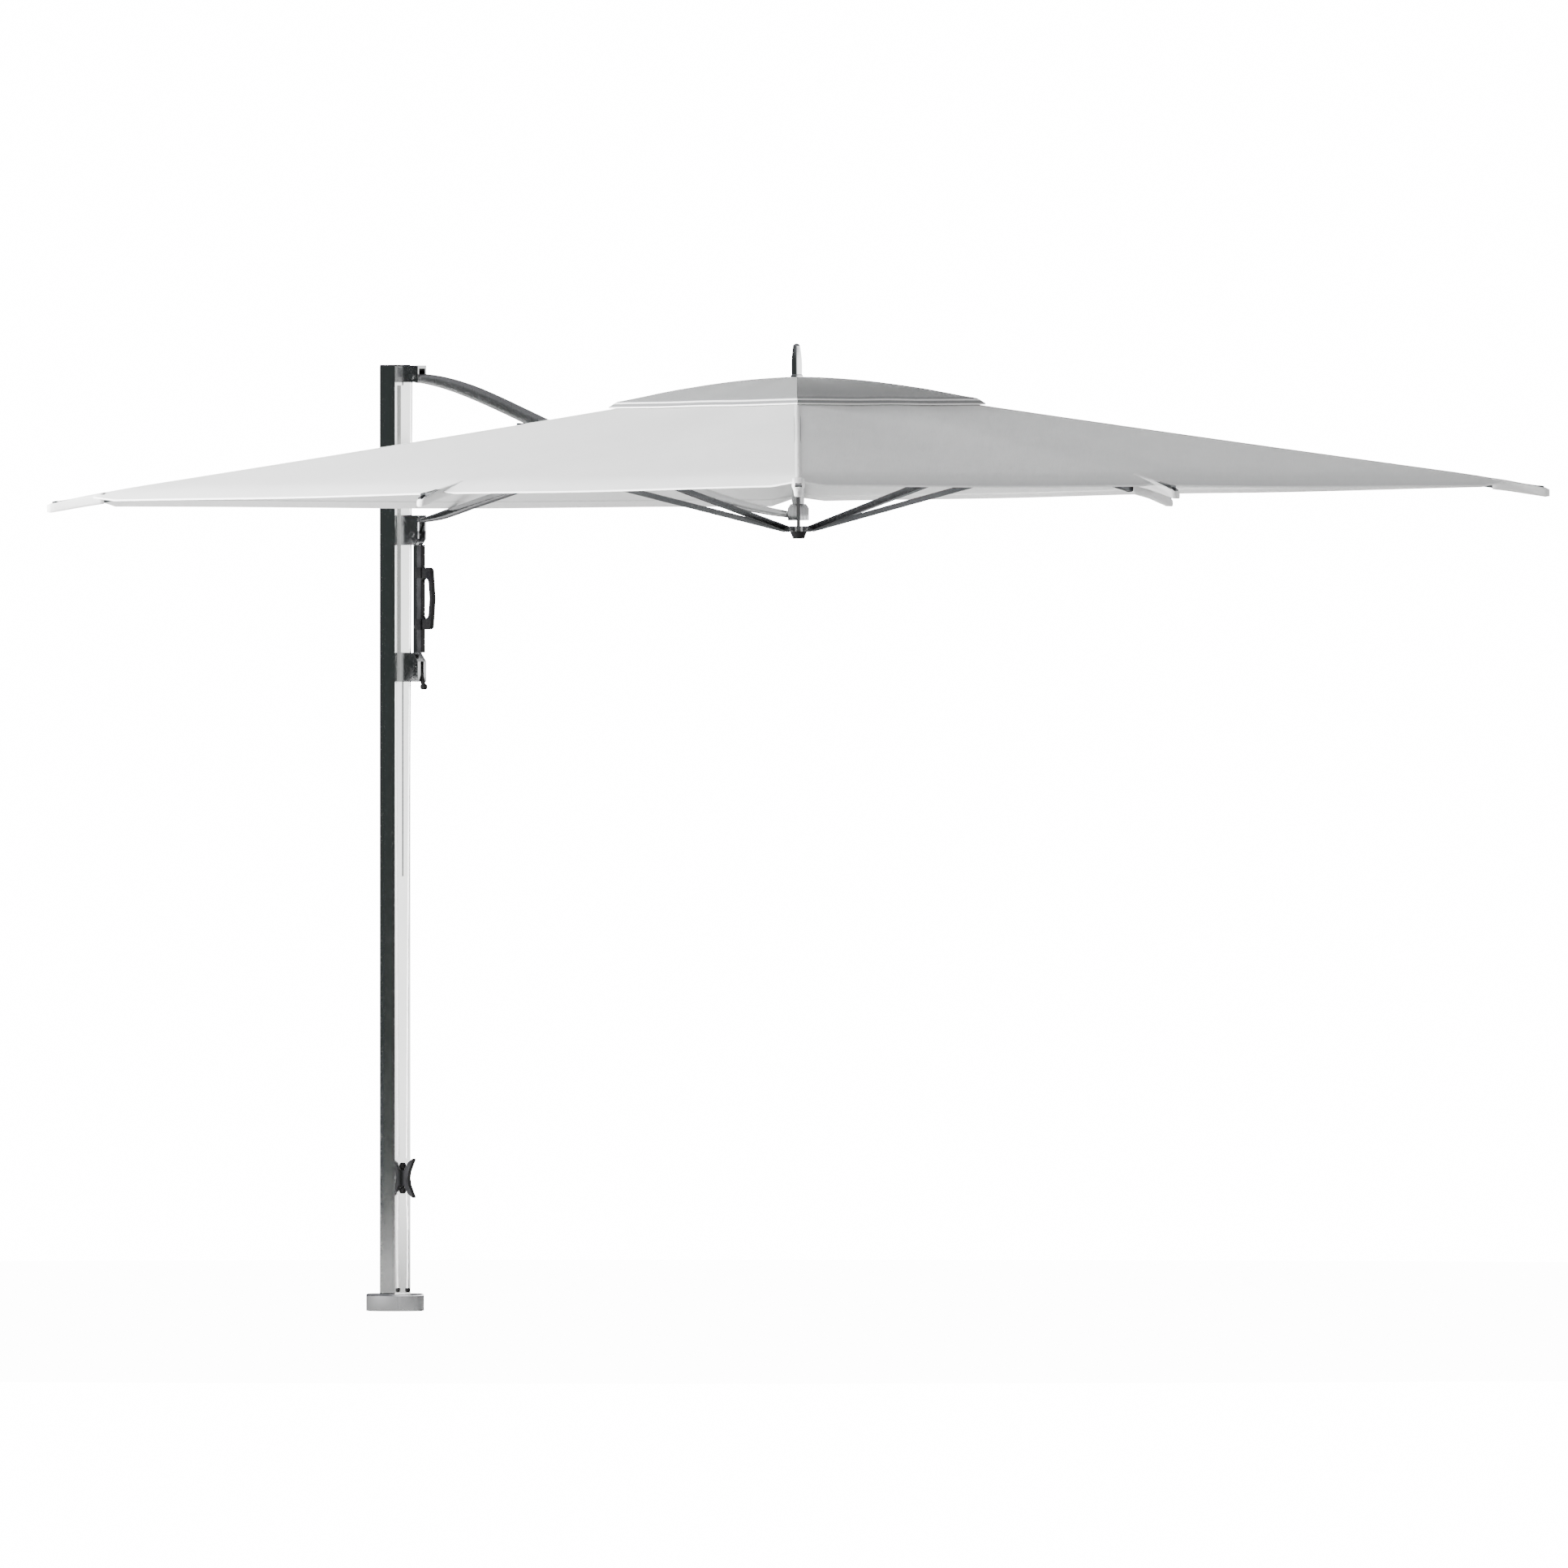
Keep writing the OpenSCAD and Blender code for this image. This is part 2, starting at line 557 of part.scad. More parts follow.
module panel_left_corner() color("whitesmoke") panel(4);
module panel_front_side() color("whitesmoke") panel(5);
module panel_front_corner() color("whitesmoke") panel(6);

module vent_pyramid() translate([0, 0, vent_z[0]]) rotate(45)
  cylinder(r1 = vent_corner, r2 = 30, h = vent_z[1] - vent_z[0], $fn = 4);
module vent_cap() color("whitesmoke") in_head() difference() {
  vent_pyramid();
  translate([0, 0, -fabric_t - 0.2]) vent_pyramid();
  translate([0, 0, rib_pivot_z]) cylinder(r = finial_r + 0.8, h = 100);
}

base_plate();
base_cover();
mast_bushes();
mast_tube();
mast_cap();
top_bracket();
boom_pin();
top_sheave();
cleat();
halyard();
rope_tail();
rope_bead();
slide_bar();
carriage_upper_block();
carriage_lower_block();
front_plates();
handle_bar();
handle_rail();
grip();
slide_shoes();
release_lever();
lever_pin();
arm_root_pin();
boom();
boom_fairlead();
arm_joint_pin();
lower_arm();
head_clamp();
centre_pole();
top_hub();
rib_pins();
finial();
runner();
runner_cap();
strut_foot_pins();
rib_outer();
rib_right_corner();
rib_rear_side();
rib_rear_corner();
rib_left_corner();
rib_front_side();
rib_front_corner();
strut_outer();
strut_right_corner();
strut_rear_side();
strut_rear_corner();
strut_left_corner();
strut_front_side();
strut_front_corner();
panel_outer();
panel_right_corner();
panel_rear_side();
panel_rear_corner();
panel_left_corner();
panel_front_side();
panel_front_corner();
vent_cap();
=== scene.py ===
"""Cantilever parasol: the looks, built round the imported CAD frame. Metres, in the frame's axes."""

import json
import math

import bmesh
import bpy
from mathutils import Matrix, Vector


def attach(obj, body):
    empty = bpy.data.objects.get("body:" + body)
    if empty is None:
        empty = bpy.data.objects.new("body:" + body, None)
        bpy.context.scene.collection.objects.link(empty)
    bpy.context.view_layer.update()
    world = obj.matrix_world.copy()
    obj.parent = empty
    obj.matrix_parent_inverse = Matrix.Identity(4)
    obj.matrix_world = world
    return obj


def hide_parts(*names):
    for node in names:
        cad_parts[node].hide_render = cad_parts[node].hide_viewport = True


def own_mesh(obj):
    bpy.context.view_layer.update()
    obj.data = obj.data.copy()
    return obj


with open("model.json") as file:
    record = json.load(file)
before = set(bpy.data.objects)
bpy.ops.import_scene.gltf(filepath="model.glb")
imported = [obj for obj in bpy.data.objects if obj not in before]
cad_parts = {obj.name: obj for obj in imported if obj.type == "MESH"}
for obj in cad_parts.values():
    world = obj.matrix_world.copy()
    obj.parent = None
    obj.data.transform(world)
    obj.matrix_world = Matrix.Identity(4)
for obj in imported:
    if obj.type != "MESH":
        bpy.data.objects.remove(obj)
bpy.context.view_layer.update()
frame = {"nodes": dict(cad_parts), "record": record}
joints = {j["name"]: j for j in frame["record"]["behaviour"]["joints"]}

# ---------------------------------------------------------------- the head's own frame
RIBS = {
    "outer": 0,
    "right_corner": 45,
    "rear_side": 90,
    "rear_corner": 135,
    "left_corner": 225,
    "front_side": 270,
    "front_corner": 315,
}
WINGS = {
    "outer": (-22.5, 22.5),
    "right_corner": (22.5, 67.5),
    "rear_side": (67.5, 112.5),
    "rear_corner": (112.5, 180),
    "left_corner": (180, 247.5),
    "front_side": (247.5, 292.5),
    "front_corner": (292.5, 337.5),
}
RIB_PIVOT_Z = 2.636


def pivot(name):
    return Vector(joints[name]["pos_m"])


HEAD_X = -Vector(joints["rib_fold_rear_side"]["axis"]).normalized()
HEAD_Z = HEAD_X.cross(Vector((0, 1, 0)))
HUB = (pivot("rib_fold_rear_side") + pivot("rib_fold_front_side")) / 2
HEAD = Matrix.Translation(HUB - HEAD_Z * RIB_PIVOT_Z) @ Matrix(
    (HEAD_X, Vector((0, 1, 0)), HEAD_Z)
).transposed().to_4x4()

# ---------------------------------------------------------------- cloth sizes
APEX_Z = 2.657
HEM_Z = 2.349
CLOTH_CORNER = 2.006  # from the middle to a corner of the hem
CLOTH_SIDE = CLOTH_CORNER / math.sqrt(2)
INNER_SIDE = 0.19  # half the opening under the vent cap
VENT_SIDE = 0.376  # half the vent cap
VENT_HEM_Z = 2.5753
VENT_TOP_Z = 2.657
VENT_BULGE, VENT_DROOP, VENT_HEM_DROP = 0.022, 0.006, 0.011
CLOTH_T = 0.0016
HEM_WIDTH, VENT_HEM_WIDTH = 0.026, 0.013
HEM_ROLL, HEM_ROLL_MAST_SIDE, HEM_ROLL_CORNER = 0.016, 0.030, 0.004
WIDE_SPAN, WIDE_SLACK = 50, 2.0  # the mast side's span, in degrees, has twice the slack
SCALLOP, CROWN = 0.006, 0.004
CORNER_TIP = 2.121  # from the middle to the end of a corner rib
MID_TIP = 1.500


# ---------------------------------------------------------------- camera, lights, floor
def make_camera():
    """A long lens far away, at hem height, looking level at the canopy's front corner."""
    distance, height = 120.0, 2.33
    centre_z, left_of_axis, view_width = 1.511, 0.0367, 4.43
    right = Vector((1, 1, 0)).normalized()
    towards = Vector((1, -1, 0)).normalized()
    target = Vector((HUB.x, 0, centre_z)) - right * left_of_axis
    data = bpy.data.cameras.new("camera")
    data.sensor_width = 36
    data.lens = 36 * distance / view_width
    data.clip_start, data.clip_end = 1, 400
    camera = bpy.data.objects.new("camera", data)
    bpy.context.scene.collection.objects.link(camera)
    camera.location = target + towards * distance
    camera.location.z = height
    camera.rotation_mode = "QUATERNION"
    camera.rotation_quaternion = (target - camera.location).to_track_quat("-Z", "Y")
    bpy.context.scene.camera = camera


def area_light(name, at, aim, size, power):
    """A white disc lamp that reflections don't show."""
    data = bpy.data.lights.new(name, "AREA")
    data.shape = "DISK"
    data.size = size
    data.energy = power
    light = bpy.data.objects.new(name, data)
    bpy.context.scene.collection.objects.link(light)
    light.location = at
    light.rotation_mode = "QUATERNION"
    light.rotation_quaternion = (Vector(aim) - Vector(at)).to_track_quat("-Z", "Y")
    light.visible_glossy = False


def make_lights():
    """A strong low key on the -Y side, a weak top light and a bounce from the ground."""
    under_head = (1.5, 0, 2.2)
    area_light("key_left", (-2.8, -8.0, 3.2), under_head, size=4, power=6800)
    area_light("top", (1.8, 0, 9), under_head, size=6, power=130)
    area_light("bounce", (1.2, -0.5, 0.2), (1.5, 0, 3), size=5, power=210)


BRIGHT_SIDE = (0.7071, 0.7071, 0.0)  # the direction in which the horizon is bright
DARK_SIDE = (0.014, 0.016, 0.016)
SKY_TINT = (0.93, 0.95, 1.0)
HORIZON_STRENGTH, SKY_STRENGTH, BACKDROP_STRENGTH = 3.4, 0.25, 16
# where the horizon leaves its dark side and reaches its bright one, from 0 to 1
HORIZON_TURN = (0.35, 0.78)
# the sine of the height at which the horizon's band starts to fade, and at which it is gone
HORIZON_BAND = (0.12, 0.4)


def make_world():
    """White to the camera. Its horizon is bright on the +X +Y side and dark on the other."""
    world = bpy.data.worlds.new("studio")
    bpy.context.scene.world = world
    world.use_nodes = True
    tree = world.node_tree
    tree.nodes.clear()
    out = tree.nodes.new("ShaderNodeOutputWorld")
    coord = tree.nodes.new("ShaderNodeTexCoord")
    dot = tree.nodes.new("ShaderNodeVectorMath")
    dot.operation = "DOT_PRODUCT"
    dot.inputs[1].default_value = BRIGHT_SIDE
    ramp = tree.nodes.new("ShaderNodeValToRGB")
    ramp.color_ramp.interpolation = "EASE"
    ramp.color_ramp.elements[0].position = HORIZON_TURN[0]
    ramp.color_ramp.elements[0].color = (*DARK_SIDE, 1)
    ramp.color_ramp.elements[1].position = HORIZON_TURN[1]
    ramp.color_ramp.elements[1].color = (1, 1, 1, 1)
    span = tree.nodes.new("ShaderNodeMapRange")
    span.inputs["From Min"].default_value = -1
    span.inputs["From Max"].default_value = 1
    split = tree.nodes.new("ShaderNodeSeparateXYZ")
    height = tree.nodes.new("ShaderNodeMath")
    height.operation = "ABSOLUTE"
    near = tree.nodes.new("ShaderNodeMapRange")
    near.interpolation_type = "SMOOTHSTEP"
    near.inputs["From Min"].default_value = HORIZON_BAND[0]
    near.inputs["From Max"].default_value = HORIZON_BAND[1]
    near.inputs["To Min"].default_value = 1
    near.inputs["To Max"].default_value = 0
    horizon = tree.nodes.new("ShaderNodeBackground")
    horizon.inputs["Strength"].default_value = HORIZON_STRENGTH
    plain = tree.nodes.new("ShaderNodeBackground")
    plain.inputs["Color"].default_value = (*SKY_TINT, 1)
    plain.inputs["Strength"].default_value = SKY_STRENGTH
    white = tree.nodes.new("ShaderNodeBackground")
    white.inputs["Color"].default_value = (1, 1, 1, 1)
    white.inputs["Strength"].default_value = BACKDROP_STRENGTH
    path = tree.nodes.new("ShaderNodeLightPath")
    by_height = tree.nodes.new("ShaderNodeMixShader")
    by_camera = tree.nodes.new("ShaderNodeMixShader")
    link = tree.links.new
    link(coord.outputs["Generated"], dot.inputs[0])
    link(dot.outputs["Value"], span.inputs["Value"])
    link(span.outputs["Result"], ramp.inputs["Fac"])
    link(ramp.outputs["Color"], horizon.inputs["Color"])
    link(coord.outputs["Generated"], split.inputs[0])
    link(split.outputs["Z"], height.inputs[0])
    link(height.outputs[0], near.inputs["Value"])
    link(near.outputs["Result"], by_height.inputs["Fac"])
    link(plain.outputs[0], by_height.inputs[1])
    link(horizon.outputs[0], by_height.inputs[2])
    link(path.outputs["Is Camera Ray"], by_camera.inputs["Fac"])
    link(by_height.outputs[0], by_camera.inputs[1])
    link(white.outputs[0], by_camera.inputs[2])
    link(by_camera.outputs[0], out.inputs["Surface"])


FLOOR_RADIUS, FLOOR_GREY, FLOOR_GLOW = 9, 0.15, 14


def make_floor():
    """A wide disc: white to the camera, grey to every other ray, and clear from below."""
    mesh = bpy.data.meshes.new("floor")
    grid = bmesh.new()
    bmesh.ops.create_circle(grid, cap_ends=True, segments=96, radius=FLOOR_RADIUS)
    grid.to_mesh(mesh)
    grid.free()
    floor = bpy.data.objects.new("floor", mesh)
    bpy.context.scene.collection.objects.link(floor)
    floor.location = (1.2, 0, -0.001)
    material = bpy.data.materials.new("floor")
    material.use_nodes = True
    tree = material.node_tree
    tree.nodes.clear()
    out = tree.nodes.new("ShaderNodeOutputMaterial")
    shade = tree.nodes.new("ShaderNodeBsdfDiffuse")
    shade.inputs["Color"].default_value = (FLOOR_GREY, FLOOR_GREY, FLOOR_GREY, 1)
    glow = tree.nodes.new("ShaderNodeEmission")
    glow.inputs["Color"].default_value = (1, 1, 1, 1)
    glow.inputs["Strength"].default_value = FLOOR_GLOW
    path = tree.nodes.new("ShaderNodeLightPath")
    both = tree.nodes.new("ShaderNodeMixShader")
    tree.links.new(path.outputs["Is Camera Ray"], both.inputs[0])
    tree.links.new(shade.outputs[0], both.inputs[1])
    tree.links.new(glow.outputs[0], both.inputs[2])
    side = tree.nodes.new("ShaderNodeNewGeometry")
    clear = tree.nodes.new("ShaderNodeBsdfTransparent")
    one_sided = tree.nodes.new("ShaderNodeMixShader")
    tree.links.new(side.outputs["Backfacing"], one_sided.inputs[0])
    tree.links.new(both.outputs[0], one_sided.inputs[1])
    tree.links.new(clear.outputs[0], one_sided.inputs[2])
    tree.links.new(one_sided.outputs[0], out.inputs["Surface"])
    mesh.materials.append(material)


make_camera()


# ---------------------------------------------------------------- materials
def principled(name, colour, roughness, metallic=0.0, **sockets):
    material = bpy.data.materials.new(name)
    material.use_nodes = True
    shader = material.node_tree.nodes["Principled BSDF"]
    shader.inputs["Base Color"].default_value = (*colour, 1)
    shader.inputs["Roughness"].default_value = roughness
    shader.inputs["Metallic"].default_value = metallic
    for socket, value in sockets.items():
        shader.inputs[socket.replace("_", " ")].default_value = value
    return material, material.node_tree, shader


def object_coords(tree, scale=(1, 1, 1)):
    coord = tree.nodes.new("ShaderNodeTexCoord")
    mapping = tree.nodes.new("ShaderNodeMapping")
    mapping.inputs["Scale"].default_value = scale
    tree.links.new(coord.outputs["Object"], mapping.inputs["Vector"])
    return mapping.outputs["Vector"]


def noise(tree, vector, scale, detail=3.0, roughness=0.5):
    node = tree.nodes.new("ShaderNodeTexNoise")
    node.inputs["Scale"].default_value = scale
    node.inputs["Detail"].default_value = detail
    node.inputs["Roughness"].default_value = roughness
    tree.links.new(vector, node.inputs["Vector"])
    return node.outputs["Fac"]


def ramp_between(tree, value, low, high, at=(0.3, 0.7)):
    node = tree.nodes.new("ShaderNodeValToRGB")
    node.color_ramp.elements[0].position = at[0]
    node.color_ramp.elements[0].color = (*low, 1)
    node.color_ramp.elements[1].position = at[1]
    node.color_ramp.elements[1].color = (*high, 1)
    tree.links.new(value, node.inputs["Fac"])
    return node.outputs["Color"]


def range_between(tree, value, low, high):
    node = tree.nodes.new("ShaderNodeMapRange")
    node.inputs["To Min"].default_value = low
    node.inputs["To Max"].default_value = high
    tree.links.new(value, node.inputs["Value"])
    return node.outputs["Result"]


def bump(tree, shader, height, distance, strength):
    node = tree.nodes.new("ShaderNodeBump")
    node.inputs["Distance"].default_value = distance
    node.inputs["Strength"].default_value = strength
    tree.links.new(height, node.inputs["Height"])
    tree.links.new(node.outputs["Normal"], shader.inputs["Normal"])


def metal(name, dark, light, roughness, metallic=1.0, grain=(40, 40, 2)):
    """Polished or brushed metal: faint drawn grain, cloudy tone and rubbed patches."""
    material, tree, shader = principled(name, light, roughness[0], metallic)
    vector = object_coords(tree)
    streaks = noise(tree, object_coords(tree, grain), 9, 4, 0.6)
    clouds = noise(tree, vector, 3.5, 3)
    tree.links.new(ramp_between(tree, clouds, dark, light), shader.inputs["Base Color"])
    tree.links.new(range_between(tree, streaks, *roughness), shader.inputs["Roughness"])
    return material


def plastic(name, dark, light, roughness, gloss=0.12, grain_scale=900, grain_depth=0.00003):
    """Moulded plastic or rubber: fine spark-eroded grain and a little dust."""
    material, tree, shader = principled(name, light, roughness[0], 0.0, Specular_IOR_Level=gloss)
    vector = object_coords(tree)
    tone = noise(tree, vector, 25, 3)
    grain = noise(tree, vector, grain_scale, 2)
    tree.links.new(ramp_between(tree, tone, dark, light), shader.inputs["Base Color"])
    tree.links.new(range_between(tree, tone, *roughness), shader.inputs["Roughness"])
    bump(tree, shader, grain, grain_depth, 0.5)
    return material


def weave_height(tree, vector, threads):
    """Plain weave: warp and weft waves of a thread count per metre, in the map's own plane."""
    parts = []
    for direction in ("X", "Y"):
        wave = tree.nodes.new("ShaderNodeTexWave")
        wave.wave_type = "BANDS"
        wave.bands_direction = direction
        wave.inputs["Scale"].default_value = threads / 3.14
        tree.links.new(vector, wave.inputs["Vector"])
        parts.append(wave.outputs["Fac"])
    mixed = tree.nodes.new("ShaderNodeMath")
    mixed.operation = "MAXIMUM"
    tree.links.new(parts[0], mixed.inputs[0])
    tree.links.new(parts[1], mixed.inputs[1])
    return mixed.outputs[0]


def fabric(name, dark, light, glow=0.16):
    """Woven acrylic canvas: thread weave, slubs, soft stretch marks and light through the cloth."""
    material, tree, shader = principled(
        name, light, 0.85, 0.0, Sheen_Weight=0.15, Sheen_Roughness=0.4
    )
    vector = object_coords(tree)
    tone = noise(tree, vector, 1.8, 4, 0.55)
    slub = noise(tree, object_coords(tree, (30, 260, 30)), 3, 3)
    colour = ramp_between(tree, tone, dark, light, (0.25, 0.75))
    mix = tree.nodes.new("ShaderNodeMix")
    mix.data_type = "RGBA"
    mix.blend_type = "MULTIPLY"
    mix.inputs["Factor"].default_value = 0.06
    tree.links.new(colour, mix.inputs[6])
    tree.links.new(slub, mix.inputs[7])
    tree.links.new(mix.outputs[2], shader.inputs["Base Color"])
    tree.links.new(range_between(tree, slub, 0.78, 0.92), shader.inputs["Roughness"])
    bump(tree, shader, weave_height(tree, vector, 1400), 0.0003, 0.35)
    out = tree.nodes["Material Output"]
    through = tree.nodes.new("ShaderNodeBsdfTranslucent")
    through.inputs["Color"].default_value = (*light, 1)
    both = tree.nodes.new("ShaderNodeMixShader")
    both.inputs["Fac"].default_value = glow
    tree.links.new(shader.outputs[0], both.inputs[1])
    tree.links.new(through.outputs[0], both.inputs[2])
    tree.links.new(both.outputs[0], out.inputs["Surface"])
    return material


def rope_material():
    """Braided polyester: crossed strands round the rope, with painted shade in the dips between
    them.
    """
    material, tree, shader = principled("rope", (0.72, 0.72, 0.71), 0.7)
    vector = object_coords(tree, (220, 220, 130))
    strands = weave_height(tree, vector, 3.0)
    # the colour is darker where the weave dips: painted shade between the strands
    tree.links.new(
        ramp_between(tree, strands, (0.45, 0.45, 0.45), (0.8, 0.8, 0.79)),
        shader.inputs["Base Color"],
    )
    bump(tree, shader, strands, 0.0006, 0.7)
    return material


MATERIALS = {
    "zinc_steel": metal("zinc_steel", (0.5, 0.51, 0.52), (0.66, 0.67, 0.68), (0.3, 0.45)),
    "polished_chrome": metal("chrome", (0.78, 0.79, 0.80), (0.86, 0.86, 0.87), (0.03, 0.08)),
    "mast_finish": metal(
        "mast_finish", (0.72, 0.73, 0.72), (0.80, 0.80, 0.79), (0.12, 0.15), grain=(12, 12, 1)
    ),
    "dark_polished": metal(
        "dark_polished", (0.34, 0.345, 0.35), (0.42, 0.425, 0.43), (0.22, 0.28), metallic=0.998
    ),
    "boom_metal": metal(
        "boom_metal", (0.50, 0.505, 0.51), (0.60, 0.605, 0.61), (0.25, 0.32), metallic=0.99
    ),
    "bright_pin": metal("bright_pin", (0.7, 0.7, 0.7), (0.82, 0.82, 0.82), (0.15, 0.3)),
    "black_nylon": plastic(
        "black_nylon", (0.006, 0.006, 0.0065), (0.014, 0.014, 0.015), (0.42, 0.6)
    ),
    "grip_rubber": plastic(
        "grip_rubber", (0.003, 0.003, 0.0035), (0.007, 0.007, 0.007), (0.4, 0.55)
    ),
    "rope": rope_material(),
    "rib_metal": metal("rib_metal", (0.10, 0.105, 0.11), (0.17, 0.175, 0.18), (0.1, 0.2)),
    "canopy_fabric": fabric("canopy_fabric", (0.74, 0.745, 0.745), (0.83, 0.83, 0.825)),
    "vent_fabric": fabric("vent_fabric", (0.20, 0.205, 0.21), (0.23, 0.235, 0.235), glow=0.1),
    "hem_fabric": fabric("hem_fabric", (0.78, 0.78, 0.78), (0.88, 0.88, 0.875), glow=0.12),
}


def paint_cad_nodes():
    slots = {s["node"]: s["material_slot"] for s in frame["record"]["subparts"]}
    for name, node in frame["nodes"].items():
        material = MATERIALS[slots[name]]
        if not node.material_slots:
            continue
        for entry in node.material_slots:
            entry.link = "OBJECT"
            entry.material = material


paint_cad_nodes()


# ---------------------------------------------------------------- mesh helpers
def make_piece(name, points, faces, material, body, smooth=True):
    """A mesh piece in the row frame, which rides on a body."""
    mesh = bpy.data.meshes.new(name)
    mesh.from_pydata([tuple(p) for p in points], [], faces)
    mesh.validate()
    piece = bpy.data.objects.new(name, mesh)
    bpy.context.scene.collection.objects.link(piece)
    mesh.materials.append(MATERIALS[material])
    for face in mesh.polygons:
        face.use_smooth = smooth
    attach(piece, body)
    return piece


def apply_modifiers(piece):
    bpy.context.view_layer.update()
    graph = bpy.context.evaluated_depsgraph_get()
    mesh = bpy.data.meshes.new_from_object(piece.evaluated_get(graph))
    piece.modifiers.clear()
    piece.data = mesh


def thicken(piece, thickness):
    solid = piece.modifiers.new("solid", "SOLIDIFY")
    solid.thickness = thickness
    solid.offset = -1
    apply_modifiers(piece)
    piece.data.set_sharp_from_angle(angle=math.radians(40))


def tube_faces(rows, sides):
    """The faces between the rings of a tube."""
    return [
        (
            r * sides + k,
            (r + 1) * sides + k,
            (r + 1) * sides + (k + 1) % sides,
            r * sides + (k + 1) % sides,
        )
        for r in range(rows - 1)
        for k in range(sides)
    ]


def grid_faces(rows, columns):
    return [
        (r * columns + c, r * columns + c + 1, (r + 1) * columns + c + 1, (r + 1) * columns + c)
        for r in range(rows - 1)
        for c in range(columns - 1)
    ]


def soften(node_name, width, body, material):
    """A copy of a CAD node with small rounded edges takes its place."""
    source = frame["nodes"][node_name]
    mesh = source.data.copy()
    mesh.transform(source.matrix_world)
    work = bmesh.new()
    work.from_mesh(mesh)
    bmesh.ops.remove_doubles(work, verts=work.verts, dist=1e-6)
    bmesh.ops.dissolve_limit(work, angle_limit=math.radians(1), verts=work.verts, edges=work.edges)
    work.to_mesh(mesh)
    work.free()
    mesh.materials.clear()
    mesh.materials.append(MATERIALS[material])
    piece = bpy.data.objects.new(node_name + "_soft", mesh)
    bpy.context.scene.collection.objects.link(piece)
    edge = piece.modifiers.new("edge", "BEVEL")
    edge.width = width
    edge.segments = 3
    edge.limit_method = "ANGLE"
    edge.angle_limit = math.radians(35)
    edge.use_clamp_overlap = True
    apply_modifiers(piece)
    piece.data.shade_smooth()
    piece.data.set_sharp_from_angle(angle=math.radians(50))
    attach(piece, body)
    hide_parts(node_name)


for node_name, width, body, material in (
    ("grip", 0.003, "carriage", "grip_rubber"),
    ("handle_bar", 0.002, "carriage", "black_nylon"),
    ("carriage_upper_block", 0.0015, "carriage", "dark_polished"),
    ("carriage_lower_block", 0.0015, "carriage", "dark_polished"),
    ("mast_cap", 0.0012, "mast", "black_nylon"),
    ("cleat", 0.002, "mast", "black_nylon"),
    ("release_lever", 0.0015, "release_lever", "grip_rubber"),
    ("head_clamp", 0.0012, "boom", "dark_polished"),
):
    soften(node_name, width, body, material)


# ---------------------------------------------------------------- canopy cloth
def edge_radius(angle, side):
    a = math.radians(angle)
    return side / max(abs(math.cos(a)), abs(math.sin(a)))


CORNERS = (45, 135, 225, 315)
MIDDLES = (0, 90, 270, 360)
SUPPORTS = sorted(CORNERS + MIDDLES)


def slack(angle):
    """0 on a rib and 1 midway between two ribs, with the wide span at the mast side fuller."""
    a = angle % 360
    for low, high in zip(SUPPORTS, SUPPORTS[1:]):
        if low <= a <= high:
            share = (a - low) / (high - low)
            fullness = WIDE_SLACK if high - low > WIDE_SPAN else 1.0
            return math.sin(math.pi * share) ** 2 * fullness
    return 0.0


def from_rib(angle, ribs, radius):
    """The distance along the cloth to the nearest of some ribs."""
    return min(abs(angle % 360 - s) for s in ribs) * math.pi / 180 * radius


def ease(t):
    t = min(max(t, 0.0), 1.0)
    return t * t * (3 - 2 * t)


def vent_shape(share):
    """Over the main cloth the cap is low at the top, bulges, and comes back down at its hem."""
    bulge = VENT_BULGE * (1 - 0.86 * (1 - min(share / 0.55, 1)) ** 2.2)
    droop = VENT_DROOP * ease((share - 0.62) / 0.34)
    return bulge - droop - VENT_HEM_DROP * ease((share - 0.955) / 0.045)


def main_shape(angle, share):
    """Between the corners the main cloth rolls over at its hem and hangs."""
    radius = edge_radius(angle, CLOTH_SIDE)
    free = ease(from_rib(angle, CORNERS, radius) / 0.045)
    held = 1 - 0.45 * (1 - ease(from_rib(angle, MIDDLES, radius) / 0.06))
    depth = HEM_ROLL_MAST_SIDE if 135 < angle % 360 < 225 else HEM_ROLL
    roll = HEM_ROLL_CORNER + (depth - HEM_ROLL_CORNER) * free * held
    return -roll * max((share - 0.92) / 0.08, 0.0) ** 1.8


def cloth_point(angle, share, side, apex, hem, sag, lift=0.0):
    """A point of a square cloth roof: share 0 at the middle, 1 at the hem."""
    lift += vent_shape(share) if side == VENT_SIDE else main_shape(angle, share)
    a = math.radians(angle)
    radius = edge_radius(angle, side * share)
    radius *= 1 - SCALLOP * slack(angle) * share**4
    drape = sag * slack(angle) * (math.sin(math.pi * share) * 0.6 + 0.5 * share**3)
    crown = (0.0 if side == VENT_SIDE else CROWN) * math.sin(math.pi * share)
    z = apex - (apex - hem) * share - drape - crown + lift
    return HEAD @ Vector((radius * math.cos(a), radius * math.sin(a), z))


def half_wings(name, per_degree=0.45):
    """The directions across a wing's two halves: from its edge to the rib, and on to the other."""
    low, high = WINGS[name]
    rib = RIBS[name]
    for side, start, end in (("low", low, rib), ("high", rib, high)):
        count = max(6, int((end - start) * per_degree))
        yield side, [start + (end - start) * i / count for i in range(count + 1)]


def fold_with(piece, name, place, border):
    """Works out the rib's line and the way across to the border, and gives the piece a mesh of its
    own.
    """
    anchor = place(RIBS[name], 0.5)
    along = (place(RIBS[name], 0.9) - anchor).normalized()
    across = place(border, 0.6) - anchor
    across -= along * across.dot(along)
    tuple(anchor)
    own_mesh(piece)


BOOM_SLOT = (0.745, 0.890, 0.021)


def slotted(points, faces):
    """Leaves out the faces over the boom's slot."""
    x0, x1, half = BOOM_SLOT
    kept = []
    for face in faces:
        middle = sum((Vector(points[i]) for i in face), Vector()) / len(face)
        if not (x0 < middle.x < x1 and abs(middle.y) < half):
            kept.append(face)
    return kept


